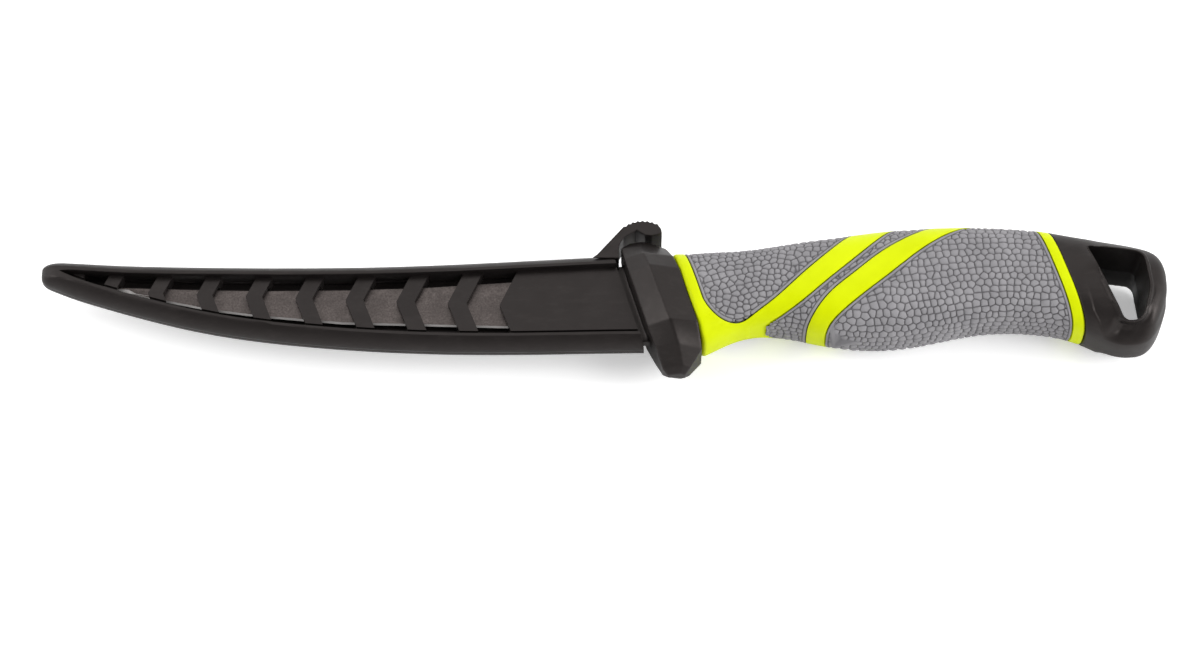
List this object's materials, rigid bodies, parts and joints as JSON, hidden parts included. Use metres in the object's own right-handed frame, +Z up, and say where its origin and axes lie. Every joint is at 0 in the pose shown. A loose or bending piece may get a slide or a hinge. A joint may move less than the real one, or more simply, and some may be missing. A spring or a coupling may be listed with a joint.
{
  "type": "sheathed fillet knife",
  "caption": "Slim fillet knife in a push-fit plastic sheath with chevron windows, a slanted finger guard, a soft textured grip on a bright core and a pommel with a lanyard hole.",
  "frame": {"origin": "middle of the overall box, on the surface that the sheathed knife lies on", "axes": "+X from the sheath's tip to the pommel, +Y from the cutting edge to the spine, +Z up, across the blade's thickness"},
  "size_m": [0.302, 0.0452, 0.023],
  "materials": {
    "blade_steel": "dark coated flat-ground steel with a bright bevel",
    "black_plastic": "satin black moulded plastic",
    "sheath_plastic": "satin black moulded plastic with a fine grain",
    "lime_plastic": "smooth lime plastic",
    "grey_rubber": "grey soft rubber with a pebbled relief"
  },
  "bodies": {
    "knife": {"blade": "blade_steel", "guard": "black_plastic", "handle_core": "lime_plastic", "grip_front": "grey_rubber", "grip_middle": "grey_rubber", "grip_rear": "grey_rubber", "pommel": "black_plastic"},
    "sheath": {"sheath_front_shell": "sheath_plastic", "sheath_back_shell": "sheath_plastic"},
    "latch": {"latch_tab": "sheath_plastic"}
  },
  "joints": [
    {"name": "sheath_slide", "type": "slide", "parent": "knife", "child": "sheath", "axis": [-1, 0, 0], "range_m": [0, 0.165]},
    {"name": "latch_flex", "type": "hinge", "parent": "sheath", "child": "latch", "pos_m": [0.00033, 0.01156, 0.0115], "axis": [0, 0, 1], "range_deg": [0, 10], "stiffness_Nm_per_rad": 0.8}
  ]
}
